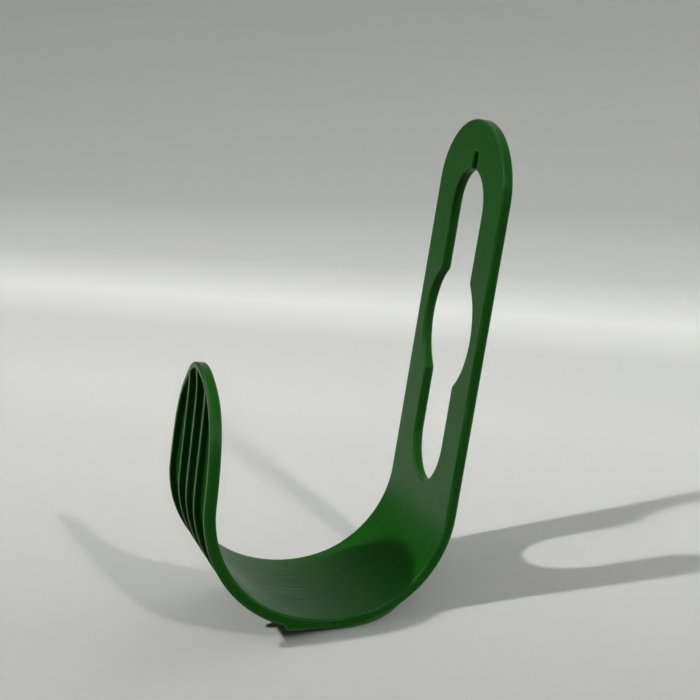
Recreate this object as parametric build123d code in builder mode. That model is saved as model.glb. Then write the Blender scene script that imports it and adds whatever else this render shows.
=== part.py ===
# Wall hose holder: one moulded strap that hangs on a wall or over a tap, with a coiled hose in its bend.
# Frame: the wall is the plane Y = 0, the front is -Y, up is +Z, and the origin is on the back face,
# on the centre line, just below the top of the plate. All sizes are in millimetres.
import os

from build123d import *

os.makedirs("parts", exist_ok=True)

# Back plate, down to where the bend starts
plate_width = 60.0
plate_thickness = 3.5
plate_length = 132.0
plate_top = 6.0
plate_top_rise = 24.8

# Cut-out that goes over a tap: a long slot with a round bulge in its middle
slot_width = 28.2
slot_top_margin = 17.0
slot_top_rise = 13.7
slot_bottom_margin = 4.4
slot_bottom_rise = 16.0
bulge_radius = 22.7
bulge_corner_radius = 2.5

# Notch above the slot, which hooks over the shank of a nail or a screw
notch_width = 4.4
notch_height = 6.2
notch_corner_radius = 0.8

# Bend, followed along its inner face from the plate to the front limb
back_radius = 38.4
back_turn = 71.0
base_radius = 46.2
base_turn = 33.0
front_radius = 36.5
front_turn = 74.0

# Front limb in side view: straight at first and then flared outward
limb_straight_length = 30.0
flare_radius = 60.0
flare_turn = 9.0
limb_end_length = 6.0

# Front limb from the front: half of its outline, which narrows from the bend and closes in an arch.
# A point gives how far it lies in from the strap's side and below the limb's top.
limb_foot_rise = 6.8
limb_side_low = (1.3, 45.4)
limb_side_high = (2.7, 26.0)
limb_shoulder = (6.9, 14.6)
limb_crown = (17.9, 4.0)
limb_trim = 3.1

# Hollow outer side of the limb: a rim around a thin web, with ribs between.
# A turn is how far the strap has turned from the plate, in degrees.
rim_depth = 4.0
rim_width = 2.0
web_thickness = 1.6
rib_width = 1.6
rib_spacing = 12.0
rib_count = 3
rim_start_turn = 94.0
pocket_start_turn = 103.5

# Foot under the bend, in side view: a flat that the holder stands on when it is not hung up.
# A point gives how far it lies behind the middle of the bend's base and above the base's outer face.
foot_heel = (30.1, 10.9)
foot_ramp = (27.0, 7.4)
foot_middle = (21.2, 3.7)
foot_flat_back = (13.4, 1.2)
foot_tip = (-8.6, -1.3)
foot_step = (-10.4, 0.9)
foot_core = (11.4, 3.1)

# Rounding of the long edges
edge_radius = 0.6

# How near a corner or an edge lies to where it is looked for
tolerance = 0.01

# What follows from these sizes
half_width = plate_width / 2
bend_start = plate_top - plate_length
slot_top = plate_top - slot_top_margin
slot_bottom = bend_start + slot_bottom_margin
bulge_height = (slot_top + slot_bottom) / 2
notch_top = slot_top + notch_height


def strap_path():
    """Draws the strap's inner line in side view, and returns the bend's base and the limb's end."""
    plate = Line((-plate_thickness, plate_top), (-plate_thickness, bend_start))
    back = JernArc(plate @ 1, plate % 1, back_radius, -back_turn)
    base = JernArc(back @ 1, back % 1, base_radius, -base_turn)
    return base, limb_path(base)


def limb_path(base):
    """Goes on from the base of the bend to the end of the front limb, and returns that end."""
    front = JernArc(base @ 1, base % 1, front_radius, -front_turn)
    limb = PolarLine(front @ 1, limb_straight_length, direction=front % 1)
    flare = JernArc(limb @ 1, limb % 1, flare_radius, flare_turn)
    end = PolarLine(flare @ 1, limb_end_length, direction=flare % 1)
    return end @ 1


def front_path(start_turn):
    """Draws the inner line from a place on the base of the bend to the top of the front limb."""
    limb_path(CenterArc(base_centre, base_radius, -start_turn, start_turn - back_turn - base_turn))


def limb_face(inset, mode):
    """Draws the limb's outline from the front, moved inward all around by an inset."""
    half_outline = [limb_side_low, limb_side_high, limb_shoulder, limb_crown]
    side = [Vector(half_width - inward, limb_top - drop) for inward, drop in half_outline]
    other_side = Vector(-side[-1].X, side[-1].Y)
    line = [Vector(half_width, limb_foot_height), *side, Vector(0, limb_top), other_side]
    points = [(half_width - inset, limb_foot_height)]
    for before, here, after in zip(line, line[1:], line[2:]):
        inward = (after - before).normalized().rotate(Axis.Z, 90)
        points.append(here + inset * inward)
    below = limb_foot_height - plate_width
    with BuildLine() as outline:
        Line((half_width - inset, below), points[0])
        Spline(*points, tangents=((0, 1), (-1, 0)))
        mirror(about=Plane.YZ)
        Line((half_width - inset, below), (inset - half_width, below))
    make_face(outline.edges(), mode=mode)


def foot_point(place):
    """Turns a place on the foot to the side view's own position."""
    return base_centre + Vector(place[0], place[1] - base_radius - plate_thickness)


with BuildPart() as hose_holder:
    # Strap of one thickness from the plate's top to the limb's top
    with BuildSketch(Plane.YZ):
        with BuildLine():
            base, limb_end = strap_path()
            offset(amount=plate_thickness, side=Side.LEFT)
        make_face()
    extrude(amount=half_width, both=True)
    base_centre = base.arc_center
    limb_foot_height = base_centre.Y - base_radius + limb_foot_rise
    limb_top = limb_end.Y - limb_trim

    # Deeper section from the foot to the limb's top
    with BuildSketch(Plane.YZ):
        with BuildLine():
            front_path(rim_start_turn)
            offset(amount=rim_depth, side=Side.LEFT)
        make_face()
    extrude(amount=half_width, both=True)

    # What lies outside the limb's outline is taken off the front half of the bend and the limb
    with BuildSketch(Plane.XZ.offset(-base_centre.X)):
        Rectangle(2 * plate_width, 4 * plate_length)
        limb_face(0, Mode.SUBTRACT)
    extrude(amount=plate_width, mode=Mode.SUBTRACT)

    # Arched top of the plate: what lies outside a half ellipse is taken off
    with BuildSketch(Plane.XZ):
        with Locations((0, plate_top - plate_top_rise)):
            Rectangle(2 * plate_width, 2 * plate_top_rise, align=(Align.CENTER, Align.MIN))
            Ellipse(half_width, plate_top_rise, mode=Mode.SUBTRACT)
    extrude(amount=plate_thickness, mode=Mode.SUBTRACT)

    # Rounded long edges: each one runs on around the outline
    plate_sides = hose_holder.edges().filter_by(Axis.Z)
    fillet(plate_sides, edge_radius)
    limb_top_edge = hose_holder.edges().sort_by(Axis.Y)[0]
    fillet(limb_top_edge, edge_radius)

    # Slot, bulge and notch
    with BuildSketch(Plane.XZ) as tap_hole:
        with Locations((0, slot_top - slot_top_rise)):
            Ellipse(slot_width / 2, slot_top_rise)
        with Locations((0, slot_bottom + slot_bottom_rise)):
            Ellipse(slot_width / 2, slot_bottom_rise)
            Rectangle(
                slot_width,
                slot_top - slot_top_rise - slot_bottom - slot_bottom_rise,
                align=(Align.CENTER, Align.MIN),
            )
        with Locations((0, bulge_height)):
            Circle(bulge_radius)
        with Locations((0, notch_top - notch_width / 2)):
            Circle(notch_width / 2)
            Rectangle(notch_width, notch_top - slot_top, align=(Align.CENTER, Align.MAX))
        bulge_corner = (bulge_radius**2 - (slot_width / 2) ** 2) ** 0.5
        bulge_corners = tap_hole.vertices().filter_by(
            lambda corner: abs(abs(corner.Y - bulge_height) - bulge_corner) < tolerance
        )
        fillet(bulge_corners, bulge_corner_radius)
        notch_mouth = tap_hole.vertices().filter_by(
            lambda corner: abs(corner.X) < notch_width and corner.Y < notch_top - notch_width
        )
        fillet(notch_mouth, notch_corner_radius)
    extrude(amount=plate_thickness, mode=Mode.SUBTRACT)
    slot_sides = hose_holder.edges().filter_by(Axis.Z)
    slot_sides = slot_sides.filter_by(lambda edge: abs(abs(edge.center().X) - slot_width / 2) < tolerance)
    fillet(slot_sides, edge_radius)

    # Foot
    with BuildSketch(Plane.YZ):
        with BuildLine():
            ramp = Line(foot_point(foot_heel), foot_point(foot_ramp))
            curve = ThreePointArc(ramp @ 1, foot_point(foot_middle), foot_point(foot_flat_back))
            flat = Line(curve @ 1, foot_point(foot_tip))
            step = Line(flat @ 1, foot_point(foot_step))
            ThreePointArc(step @ 1, foot_point(foot_core), ramp @ 0)
        make_face()
    extrude(amount=half_width - edge_radius / 2, both=True)

# What is taken out of the limb's outer side: the bays between the rim and the ribs
with BuildPart() as bays:
    with BuildSketch(Plane.YZ):
        with BuildLine():
            front_path(pocket_start_turn)
            offset(amount=2 * rim_depth, side=Side.LEFT)
        make_face()
        with BuildLine():
            front_path(pocket_start_turn)
            offset(amount=web_thickness, side=Side.LEFT)
        make_face(mode=Mode.SUBTRACT)
    extrude(amount=half_width, both=True)
    with BuildSketch(Plane.XZ):
        limb_face(rim_width, Mode.ADD)
    extrude(amount=2 * plate_width, mode=Mode.INTERSECT)
    with GridLocations(rib_spacing, 0, rib_count, 1):
        Box(rib_width, 4 * plate_length, 4 * plate_length, mode=Mode.SUBTRACT)

with hose_holder:
    add(bays.part, mode=Mode.SUBTRACT)

hose_holder.part.label = "hose_holder"
export_step(hose_holder.part, "parts/hose_holder.step")
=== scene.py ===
# Wall hose holder: one injection-moulded strap in dark green plastic, stood on its foot on pale paper.
# Lengths are in metres in the holder's own frame: the wall is the plane Y = 0, the front is -Y, up is +Z.
import math

import bmesh
import bpy
from mathutils import Matrix, Vector


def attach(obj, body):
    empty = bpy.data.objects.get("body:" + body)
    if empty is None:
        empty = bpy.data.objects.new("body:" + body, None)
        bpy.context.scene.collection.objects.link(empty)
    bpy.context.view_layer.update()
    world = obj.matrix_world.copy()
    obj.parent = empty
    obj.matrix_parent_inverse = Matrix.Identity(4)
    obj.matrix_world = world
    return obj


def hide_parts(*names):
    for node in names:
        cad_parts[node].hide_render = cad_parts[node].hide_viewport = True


MM = 0.001

# The mesh: corners this close are joined, and edges that turn by this angle or more stay sharp
joining_distance = 0.001 * MM
sharp_angle = math.radians(46)

# The plastic: the two shades of its pigment, the shades of its marks, and how it mirrors light
dark_pigment = "#14540e"
pale_pigment = "#185b12"
flow_line_shade = "#1d5f16"
# Painted shade in the sink marks
sink_painted_shade = "#0e420a"
# A painted highlight along the edges
edge_highlight_shade = "#568a4c"
refractive_index = 1.49
specular_level = 0.11

# Roughness of the mould's skin, from its glossiest patches to its dullest, and what its marks add to that
glossiest = 0.30
dullest = 0.38
flow_dulling = 0.05
wear_polish = -0.08

# Marks that moulding and use leave on the plastic
cloud_size = 25 * MM
grain_size = 0.5 * MM
grain_depth = 0.03 * MM
grain_strength = 0.12
gloss_patch_size = 12 * MM
flow_line_width = 1.2 * MM
flow_line_length = 45 * MM
flow_line_depth = 0.04 * MM
flow_line_strength = 0.35
edge_radius = 0.5 * MM
edge_samples = 8
# How far the painted highlight along the edges reaches
edge_highlight_reach = 1.3 * MM

# The level of the noise, from 0 to 1, where each kind of mark starts and where it is full
cloud_start = 0.3
cloud_full = 0.7
flow_start = 0.56
flow_full = 0.74
# Patches of the painted edge highlight
edge_patch_start = 0.3
edge_patch_full = 0.6
gloss_start = 0.3
gloss_full = 0.7

# The cosine of the turn between a face and what is around it, where the painted edge highlight starts and
# where it is full
edge_highlight_start = 0.995
edge_highlight_full = 0.94

# Sink marks: shallow lines on the inner face of the bend, over the place where the outer side's ribs start.
# They are only on faces whose normal points up by more than least_rise.
rib_spacing = 12 * MM
rib_reach = 18 * MM
sink_width = 1.5 * MM
sink_depth = 0.1 * MM
sink_middle = -46 * MM
sink_length = 17 * MM
least_rise = 0.5

# How the holder stands: it leans back on its foot, so in its own frame the floor slopes
lean = math.radians(15)
floor_reach = 8.0

# The paper's painted light and shade, a bright band behind the holder with darker shade nearer and
# farther, by the distance behind the holder along the way that the band crosses, and the darker shade
# that it has for light that bounces off it
painted_band_way = (-0.669, 0.718, 0.192)
nearest = -0.2
farthest = 0.6
paper_painted_light = {
    -0.12: "#c5c6c2", 0.13: "#e7e8e4", 0.23: "#e6e7e3", 0.29: "#fdfefa", 0.37: "#dddeda", 0.52: "#c9cac6"
}
bounce_shade = "#5c5e5a"

# Lamps: a level is the light that falls on a face turned to the lamp, a width is the angle that it fills
front_lamp_place = (-0.044, -0.450, 0.175)
front_lamp_level = 1.62
front_lamp_width = math.radians(3)
side_lamp_place = (3.96, 0.405, 3.025)
side_lamp_level = 0.95
side_lamp_width = math.radians(4)

# The room: how strongly each part glows, the way to it, and how near to that way it starts and is full
room_shade = "#e4e6e2"
ceiling_glow = 0.45
ceiling_start = 0.4
ceiling_full = 0.95
wall_glow = 0.95
wall_way = (-0.6, 0.8, 0.0)
wall_start = 0.2
wall_full = 0.9
dim_glow = 0.05
backdrop_shade = "#bcbdb9"
screen_glow = 0.1
screen_way = (-0.87, -0.5, 0.0)
screen_start = 0.6
screen_full = 0.92

# The camera, at the photograph's viewing angle
camera_place = (0.62622, -0.24951, 0.05881)
camera_forward = (-0.9274, 0.3147, -0.2025)
camera_up = (-0.2406, -0.0870, 0.9667)
camera_lens = 101.35
camera_sensor = 36.0

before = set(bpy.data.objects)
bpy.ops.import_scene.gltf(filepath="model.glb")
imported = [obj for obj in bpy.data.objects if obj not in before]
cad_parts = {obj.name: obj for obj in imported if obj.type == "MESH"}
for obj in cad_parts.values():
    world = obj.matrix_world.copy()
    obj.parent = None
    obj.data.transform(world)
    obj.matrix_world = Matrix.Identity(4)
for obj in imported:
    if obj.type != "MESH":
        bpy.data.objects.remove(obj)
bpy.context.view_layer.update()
scene = bpy.context.scene
scene.view_settings.view_transform = "Standard"


def colour(hex_code):
    """Turns an sRGB hex colour to linear RGBA."""
    parts = [int(hex_code[place:place + 2], 16) / 255 for place in (1, 3, 5)]
    return [part / 12.92 if part <= 0.04045 else ((part + 0.055) / 1.055) ** 2.4 for part in parts] + [1.0]


def empty_tree(owner):
    """Turns on a material's, lamp's or world's nodes and gives its tree, with nothing in it."""
    owner.use_nodes = True
    owner.node_tree.nodes.clear()
    return owner.node_tree


def node(tree, kind, settings=None, **inputs):
    """Adds a node with its settings, and sets its inputs to values or links them from sockets or nodes.

    An input has its socket's name, with _ for a space, or its place, such as in_6. A node that is linked
    from gives its first socket that is in use.
    """
    made = tree.nodes.new(kind)
    for name, value in (settings or {}).items():
        setattr(made, name, value)
    for name, value in inputs.items():
        socket = made.inputs[int(name[3:]) if name.startswith("in_") else name.replace("_", " ")]
        if isinstance(value, bpy.types.Node):
            value = next(output for output in value.outputs if output.enabled)
        if isinstance(value, bpy.types.NodeSocket):
            tree.links.new(value, socket)
        else:
            socket.default_value = value
    return made


def maths(tree, operation, *values):
    """Adds a maths node that works on the values, sockets or nodes in their order."""
    inputs = {f"in_{place}": value for place, value in enumerate(values)}
    return node(tree, "ShaderNodeMath", {"operation": operation}, **inputs)


def dot_product(tree, first, second):
    """Gives the dot product of two vectors."""
    made = node(tree, "ShaderNodeVectorMath", {"operation": "DOT_PRODUCT"}, in_0=first, in_1=second)
    return made.outputs["Value"]


def blend(tree, amount, first, second):
    """Mixes two colours: an amount of 0 gives the first, and 1 gives the second."""
    return node(tree, "ShaderNodeMix", {"data_type": "RGBA"}, Factor=amount, in_6=first, in_7=second)


def sink_marks(tree, place, face):
    """Gives 1 in the middle of the sink marks, less towards their edges and ends, and 0 elsewhere."""
    axes = node(tree, "ShaderNodeSeparateXYZ", Vector=place).outputs
    off_centre = maths(tree, "ABSOLUTE", axes["X"])
    off_rib = maths(tree, "PINGPONG", off_centre, rib_spacing / 2)
    on_rib = node(
        tree, "ShaderNodeMapRange", {"interpolation_type": "SMOOTHSTEP"},
        Value=off_rib, From_Min=0.0, From_Max=sink_width / 2, To_Min=1.0, To_Max=0.0,
    )
    has_rib = maths(tree, "LESS_THAN", off_centre, rib_reach)
    along = maths(tree, "SUBTRACT", axes["Y"], sink_middle)
    off_middle = maths(tree, "ABSOLUTE", along)
    fading = node(
        tree, "ShaderNodeMapRange", {"interpolation_type": "SMOOTHSTEP"},
        Value=off_middle, From_Min=sink_length / 4, From_Max=sink_length / 2, To_Min=1.0, To_Max=0.0,
    )
    rise = node(tree, "ShaderNodeSeparateXYZ", Vector=face).outputs["Z"]
    faces_up = maths(tree, "GREATER_THAN", rise, least_rise)
    rib_line = maths(tree, "MULTIPLY", on_rib, has_rib)
    faded_line = maths(tree, "MULTIPLY", rib_line, fading)
    return maths(tree, "MULTIPLY", faded_line, faces_up)


def moulded_polypropylene():
    """Injection-moulded polypropylene, coloured through with a dark green pigment.

    The mould's fine skin gives a soft, half-gloss highlight. The melt leaves faint lines along the strap,
    and the ribs leave sink marks on the bend, darkened with painted shade. A paler line along the edges is a
    painted highlight, where the edges are also polished.
    """
    material = bpy.data.materials.new("injection_moulded_polypropylene")
    tree = empty_tree(material)
    place = node(tree, "ShaderNodeTexCoord").outputs["Object"]
    face = node(tree, "ShaderNodeNewGeometry").outputs["Normal"]

    # Pigment that is not quite evenly mixed
    clouds = node(tree, "ShaderNodeTexNoise", Vector=place, Scale=1 / cloud_size, Detail=3.0)
    mixing = node(tree, "ShaderNodeMapRange", Value=clouds, From_Min=cloud_start, From_Max=cloud_full)
    pigment = blend(tree, mixing, colour(dark_pigment), colour(pale_pigment))

    # Flow lines along the strap, far longer than they are wide
    stretch = (1 / flow_line_width, 1 / flow_line_length, 1 / flow_line_length)
    along = node(tree, "ShaderNodeMapping", Vector=place, Scale=stretch)
    melt = node(tree, "ShaderNodeTexNoise", Vector=along, Scale=1.0, Detail=2.0)
    flow = node(tree, "ShaderNodeMapRange", Value=melt, From_Min=flow_start, From_Max=flow_full)
    flowed = blend(tree, flow, pigment, colour(flow_line_shade))

    # Sink marks, darkened with painted shade in their dents
    sink = sink_marks(tree, place, face)
    dented_and_shaded = blend(tree, sink, flowed, colour(sink_painted_shade))

    # Painted highlight along the edges: paler where the surface turns within its reach, in patches
    nearby = node(tree, "ShaderNodeBevel", {"samples": edge_samples}, Radius=edge_highlight_reach)
    alike = dot_product(tree, nearby, face)
    turning = node(tree, "ShaderNodeMapRange", Value=alike, From_Min=edge_highlight_start, From_Max=edge_highlight_full)
    patches = node(tree, "ShaderNodeTexNoise", Vector=place, Scale=1 / gloss_patch_size, Detail=4.0)
    edge_patches = node(tree, "ShaderNodeMapRange", Value=patches, From_Min=edge_patch_start, From_Max=edge_patch_full)
    edge_highlight_and_polish = maths(tree, "MULTIPLY", turning, edge_patches)
    highlighted = blend(tree, edge_highlight_and_polish, dented_and_shaded, colour(edge_highlight_shade))

    # Gloss: duller in patches and on the flow lines, and polished along the edges
    skin = node(
        tree, "ShaderNodeMapRange",
        Value=patches, From_Min=gloss_start, From_Max=gloss_full, To_Min=glossiest, To_Max=dullest,
    )
    dulled = maths(tree, "MULTIPLY_ADD", flow, flow_dulling, skin)
    rough = maths(tree, "MULTIPLY_ADD", edge_highlight_and_polish, wear_polish, dulled)

    # Relief: edges that the mould left slightly round, its grain, drawn coarser than it is so that it shows,
    # the flow lines and the sink marks
    rounded = node(tree, "ShaderNodeBevel", {"samples": edge_samples}, Radius=edge_radius)
    grain = node(tree, "ShaderNodeTexNoise", Vector=place, Scale=1 / grain_size, Detail=2.0)
    grained = node(
        tree, "ShaderNodeBump",
        Height=grain, Strength=grain_strength, Distance=grain_depth, Normal=rounded,
    )
    lined = node(
        tree, "ShaderNodeBump",
        Height=melt, Strength=flow_line_strength, Distance=flow_line_depth, Normal=grained,
    )
    sunk = node(
        tree, "ShaderNodeBump", {"invert": True},
        Height=sink, Strength=1.0, Distance=sink_depth, Normal=lined,
    )

    plastic = node(
        tree, "ShaderNodeBsdfPrincipled", Base_Color=highlighted, Roughness=rough,
        IOR=refractive_index, Specular_IOR_Level=specular_level, Normal=sunk,
    )
    node(tree, "ShaderNodeOutputMaterial", Surface=plastic)
    return material


def smooth_copy(source, name):
    """Copies a CAD node's mesh into a new piece, its triangles joined and its round faces shaded smooth."""
    mesh = source.data.copy()
    mesh.name = name
    mesh.materials.clear()
    work = bmesh.new()
    work.from_mesh(mesh)
    bmesh.ops.transform(work, matrix=source.matrix_world, verts=work.verts)
    bmesh.ops.remove_doubles(work, verts=work.verts, dist=joining_distance)
    for face in work.faces:
        face.smooth = True
    for edge in work.edges:
        edge.smooth = edge.is_manifold and edge.calc_face_angle() < sharp_angle
    work.to_mesh(mesh)
    work.free()
    piece = bpy.data.objects.new(name, mesh)
    scene.collection.objects.link(piece)
    even = piece.modifiers.new("flat_faces_stay_flat", "WEIGHTED_NORMAL")
    even.keep_sharp = True
    return piece


holder = smooth_copy(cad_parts["hose_holder"], "moulded_strap")
holder.data.materials.append(moulded_polypropylene())
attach(holder, "root")
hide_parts("hose_holder")


def seen_directly(tree):
    """Gives 1 for what the camera sees, straight or mirrored in gloss, and 0 for what only lights things."""
    light = node(tree, "ShaderNodeLightPath").outputs
    return maths(tree, "MAXIMUM", light["Is Camera Ray"], light["Is Glossy Ray"])


def background_paper():
    """Matt pale paper. Painted on it are a band of light behind the holder, where a sweep would catch the
    light, and darker shade nearer and farther.

    Light that bounces off it is held back, so that it shows pale and the holder keeps its dark colour. From
    below it is clear, so that a low view from behind still shows the holder.
    """
    material = bpy.data.materials.new("matt_background_paper")
    tree = empty_tree(material)
    place = node(tree, "ShaderNodeTexCoord").outputs["Object"]
    # Painted light and shade: a bright band with darker ends, along the way that the band crosses
    away = dot_product(tree, place, painted_band_way)
    depth = node(tree, "ShaderNodeMapRange", Value=away, From_Min=nearest, From_Max=farthest)
    painted_band = node(tree, "ShaderNodeValToRGB", Fac=depth)
    stops = painted_band.color_ramp.elements
    while len(stops) < len(paper_painted_light):
        stops.new(1.0)
    for stop, (distance, shade) in zip(stops, paper_painted_light.items()):
        stop.position = (distance - nearest) / (farthest - nearest)
        stop.color = colour(shade)
    shown = blend(tree, seen_directly(tree), colour(bounce_shade), painted_band)
    paper = node(tree, "ShaderNodeBsdfDiffuse", Color=shown)
    below = node(tree, "ShaderNodeNewGeometry").outputs["Backfacing"]
    clear = node(tree, "ShaderNodeBsdfTransparent")
    sheet = node(tree, "ShaderNodeMixShader", Fac=below, in_1=paper, in_2=clear)
    node(tree, "ShaderNodeOutputMaterial", Surface=sheet)
    return material


# The floor touches the lowest point of the foot
floor_up = Vector((0, -math.sin(lean), math.cos(lean)))
floor_height = min(floor_up.dot(vertex.co) for vertex in holder.data.vertices)
floor_frame = Matrix.Translation(floor_up * floor_height) @ Matrix.Rotation(lean, 4, "X")
floor_corners = [(-floor_reach, -floor_reach, 0), (floor_reach, -floor_reach, 0),
                 (floor_reach, floor_reach, 0), (-floor_reach, floor_reach, 0)]
floor_mesh = bpy.data.meshes.new("studio_floor")
floor_mesh.from_pydata([floor_frame @ Vector(corner) for corner in floor_corners], [], [(0, 1, 2, 3)])
floor_mesh.materials.append(background_paper())
floor = bpy.data.objects.new("studio_floor", floor_mesh)
scene.collection.objects.link(floor)


def studio_lamp(name, place, level, width):
    """A round lamp that lights near and far things alike, and that the camera doesn't see."""
    lamp = bpy.data.lights.new(name, "POINT")
    lamp.energy = 4 * math.pi * level
    lamp.shadow_soft_size = Vector(place).length * math.tan(width / 2)
    tree = empty_tree(lamp)
    even = node(tree, "ShaderNodeLightFalloff", Strength=1.0).outputs["Constant"]
    glow = node(tree, "ShaderNodeEmission", Strength=even)
    node(tree, "ShaderNodeOutputLight", Surface=glow)
    made = bpy.data.objects.new(name, lamp)
    made.location = place
    made.visible_camera = False
    scene.collection.objects.link(made)


studio_lamp("front_lamp", front_lamp_place, front_lamp_level, front_lamp_width)
studio_lamp("side_lamp", side_lamp_place, side_lamp_level, side_lamp_width)


def studio_room():
    """A dim room with a lit ceiling and a pale wall behind the holder.

    What shows of it, and gives the bend its soft sheen, is a pale backdrop all around, apart from a dark
    screen at the left that keeps glare off the plate.
    """
    room = bpy.data.worlds.new("studio_room")
    tree = empty_tree(room)
    towards = node(tree, "ShaderNodeTexCoord").outputs["Generated"]
    upward = node(tree, "ShaderNodeSeparateXYZ", Vector=towards).outputs["Z"]
    ceiling = node(
        tree, "ShaderNodeMapRange",
        Value=upward, From_Min=ceiling_start, From_Max=ceiling_full, To_Min=0.0, To_Max=ceiling_glow,
    )
    wall = node(
        tree, "ShaderNodeMapRange", Value=dot_product(tree, towards, wall_way),
        From_Min=wall_start, From_Max=wall_full, To_Min=dim_glow, To_Max=wall_glow,
    )
    glow = maths(tree, "ADD", ceiling, wall)
    light = node(tree, "ShaderNodeBackground", Color=colour(room_shade), Strength=glow)
    screen = node(
        tree, "ShaderNodeMapRange", Value=dot_product(tree, towards, screen_way),
        From_Min=screen_start, From_Max=screen_full, To_Min=1.0, To_Max=screen_glow,
    )
    backdrop = node(tree, "ShaderNodeBackground", Color=colour(backdrop_shade), Strength=screen)
    around = node(tree, "ShaderNodeMixShader", Fac=seen_directly(tree), in_1=light, in_2=backdrop)
    node(tree, "ShaderNodeOutputWorld", Surface=around)
    return room


scene.world = studio_room()

# The camera looks along forward, with its top towards upright
camera = bpy.data.objects.new("camera", bpy.data.cameras.new("camera"))
camera.data.sensor_width = camera_sensor
camera.data.lens = camera_lens
forward = Vector(camera_forward).normalized()
right = forward.cross(Vector(camera_up)).normalized()
upright = right.cross(forward)
camera.matrix_world = Matrix((right, upright, -forward)).transposed().to_4x4()
camera.location = camera_place
scene.collection.objects.link(camera)
scene.camera = camera
